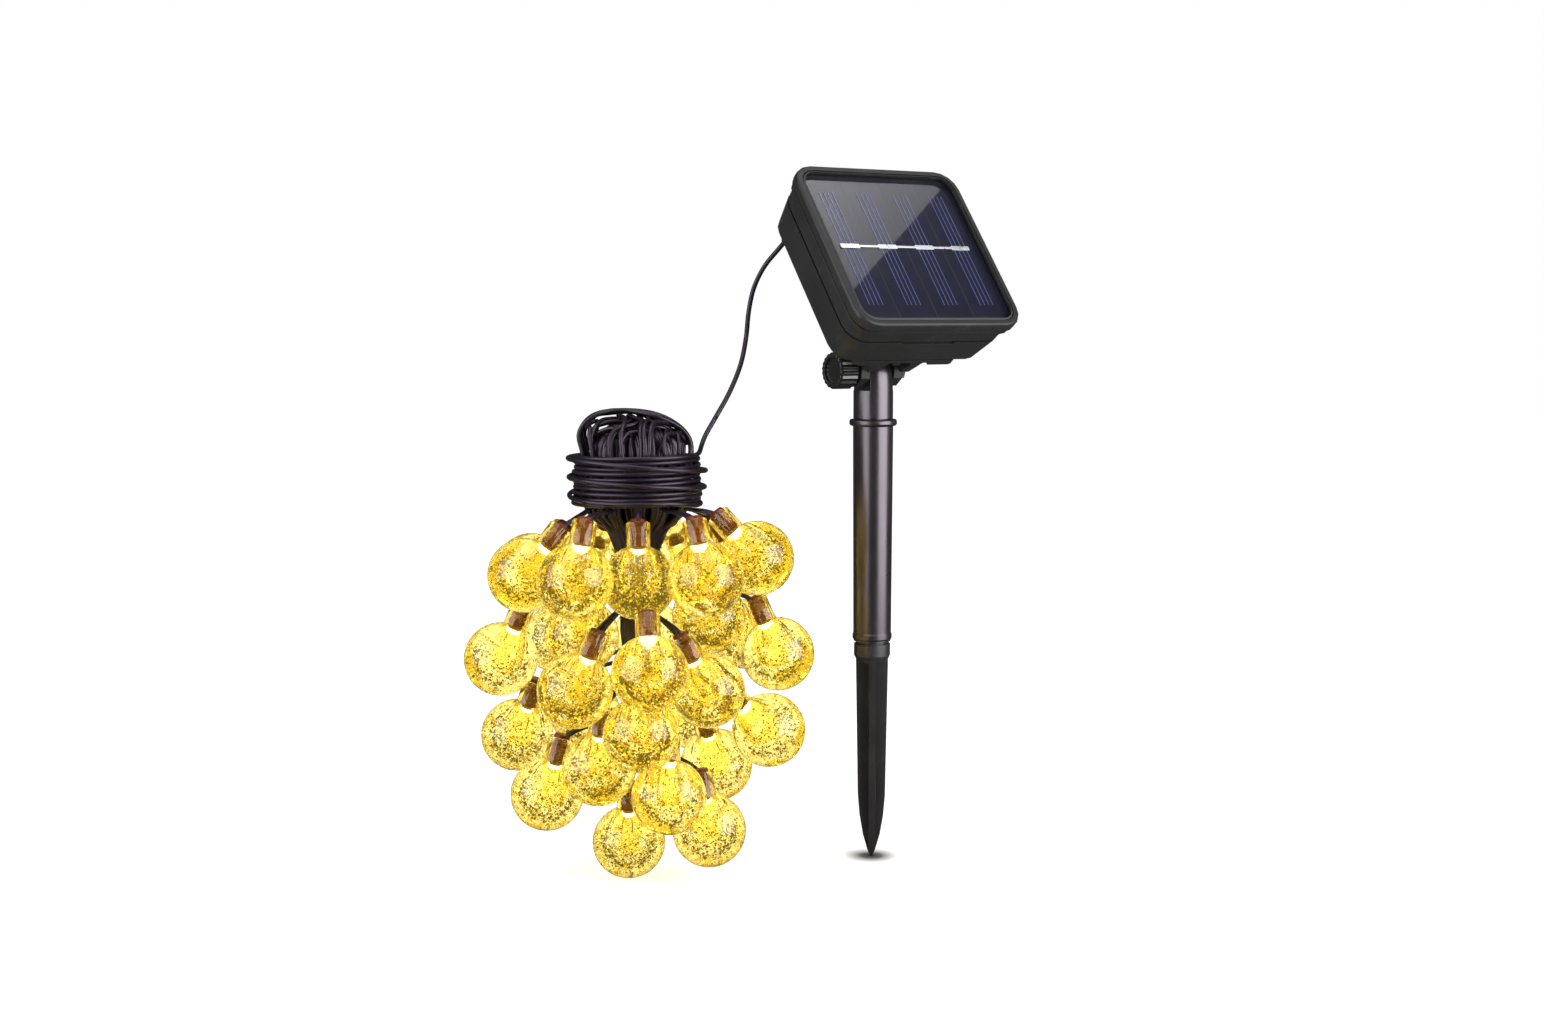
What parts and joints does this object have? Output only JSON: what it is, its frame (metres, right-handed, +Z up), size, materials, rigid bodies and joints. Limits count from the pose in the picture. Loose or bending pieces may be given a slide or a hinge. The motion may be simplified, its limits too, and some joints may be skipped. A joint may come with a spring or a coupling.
{
  "type": "solar string lights",
  "caption": "Solar panel head on a ground stake, with a knob-clamped tilt hinge and a lead to a bundled string of globe bulbs hanging under a wound neck of cord.",
  "frame": {"origin": "tip of the ground spike, where the stake enters the ground", "axes": "+Z up along the stake, -Y towards the viewer, +X to the right; the light bundle is at -X"},
  "size_m": [0.2026, 0.1279, 0.2618],
  "materials": {
    "housing_plastic": "fine moulded satin black",
    "tube_plastic": "glossy grey-black tube",
    "spike_plastic": "satin dark grey",
    "knob_plastic": "knurled satin black",
    "screw_steel": "zinc plated",
    "contact_metal": "nickel plated spring steel",
    "solar_cell": "dark navy silicon with fine bright lines",
    "solder_ribbon": "tinned ribbon",
    "clear_resin": "clear glossy resin",
    "rubber": "matt black",
    "circuit_board": "green solder mask",
    "battery_wrap": "green shrink wrap",
    "cord_jacket": "soft black PVC",
    "socket_plastic": "dark maroon-brown plastic",
    "globe_plastic": "clear bubbled plastic lit warm yellow"
  },
  "bodies": {
    "stake": {"ground_spike": "spike_plastic", "stake_tube": "tube_plastic", "cord_winding": "cord_jacket", "light_harness": "cord_jacket", "lead_cord": "cord_jacket", "bulb_globe_01": "globe_plastic", "bulb_globe_02": "globe_plastic", "bulb_globe_03": "globe_plastic", "bulb_globe_04": "globe_plastic", "bulb_globe_05": "globe_plastic", "bulb_globe_06": "globe_plastic", "bulb_globe_07": "globe_plastic", "bulb_globe_08": "globe_plastic", "bulb_globe_09": "globe_plastic", "bulb_globe_10": "globe_plastic", "bulb_globe_11": "globe_plastic", "bulb_globe_12": "globe_plastic", "bulb_globe_13": "globe_plastic", "bulb_globe_14": "globe_plastic", "bulb_globe_15": "globe_plastic", "bulb_globe_16": "globe_plastic", "bulb_globe_17": "globe_plastic", "bulb_globe_18": "globe_plastic", "bulb_globe_19": "globe_plastic", "bulb_globe_20": "globe_plastic", "bulb_globe_21": "globe_plastic", "bulb_globe_22": "globe_plastic", "bulb_globe_23": "globe_plastic", "bulb_globe_24": "globe_plastic", "bulb_globe_25": "globe_plastic", "bulb_globe_26": "globe_plastic", "bulb_globe_27": "globe_plastic", "bulb_globe_28": "globe_plastic", "bulb_globe_29": "globe_plastic", "bulb_globe_30": "globe_plastic"},
    "pivot": {"pivot_socket": "tube_plastic"},
    "head": {"hinge_bracket": "housing_plastic", "clamp_bolt": "screw_steel", "rear_housing": "housing_plastic", "front_cover": "housing_plastic", "cover_gasket": "rubber", "solar_cell_1": "solar_cell", "solar_cell_2": "solar_cell", "solar_cell_3": "solar_cell", "solar_cell_4": "solar_cell", "cell_ribbon": "solder_ribbon", "panel_resin": "clear_resin", "circuit_board": "circuit_board", "battery": "battery_wrap", "battery_spring": "contact_metal", "battery_contact": "contact_metal", "cable_gland": "rubber", "housing_screw_1": "screw_steel", "housing_screw_2": "screw_steel", "housing_screw_3": "screw_steel", "housing_screw_4": "screw_steel"},
    "clamp_carriage": {"clamp_washer": "screw_steel"},
    "knob": {"clamp_knob": "knob_plastic"},
    "power_key": {"power_button": "rubber"},
    "mode_key": {"mode_button": "rubber"}
  },
  "joints": [
    {"name": "head_swivel", "type": "hinge", "parent": "stake", "child": "pivot", "pos_m": [0, 0, 0.165], "axis": [0, 0, 1], "range_deg": [-45, 45], "deforming": ["lead_cord"]},
    {"name": "head_tilt", "type": "hinge", "parent": "pivot", "child": "head", "pos_m": [0, 0, 0.187], "axis": [0.8387, 0.5446, 0], "range_deg": [-50, 36], "deforming": ["lead_cord"]},
    {"name": "clamp_travel", "type": "slide", "parent": "head", "child": "clamp_carriage", "axis": [-0.8387, -0.5446, 0], "range_m": [0, 0.0014]},
    {"name": "knob_turn", "type": "hinge", "parent": "clamp_carriage", "child": "knob", "pos_m": [0, 0, 0.187], "axis": [-0.8387, -0.5446, 0], "range_deg": [0, 720]},
    {"name": "power_press", "type": "slide", "parent": "head", "child": "power_key", "axis": [0.4292, -0.6609, 0.6157], "range_m": [0, 0.0008], "stiffness_N_per_m": 800, "springref_m": -0.0005},
    {"name": "mode_press", "type": "slide", "parent": "head", "child": "mode_key", "axis": [0.4292, -0.6609, 0.6157], "range_m": [0, 0.0008], "stiffness_N_per_m": 800, "springref_m": -0.0005}
  ],
  "couplings": [
    {"joint": "knob_turn", "follows": "clamp_travel", "rad_per_m": 8975}
  ]
}
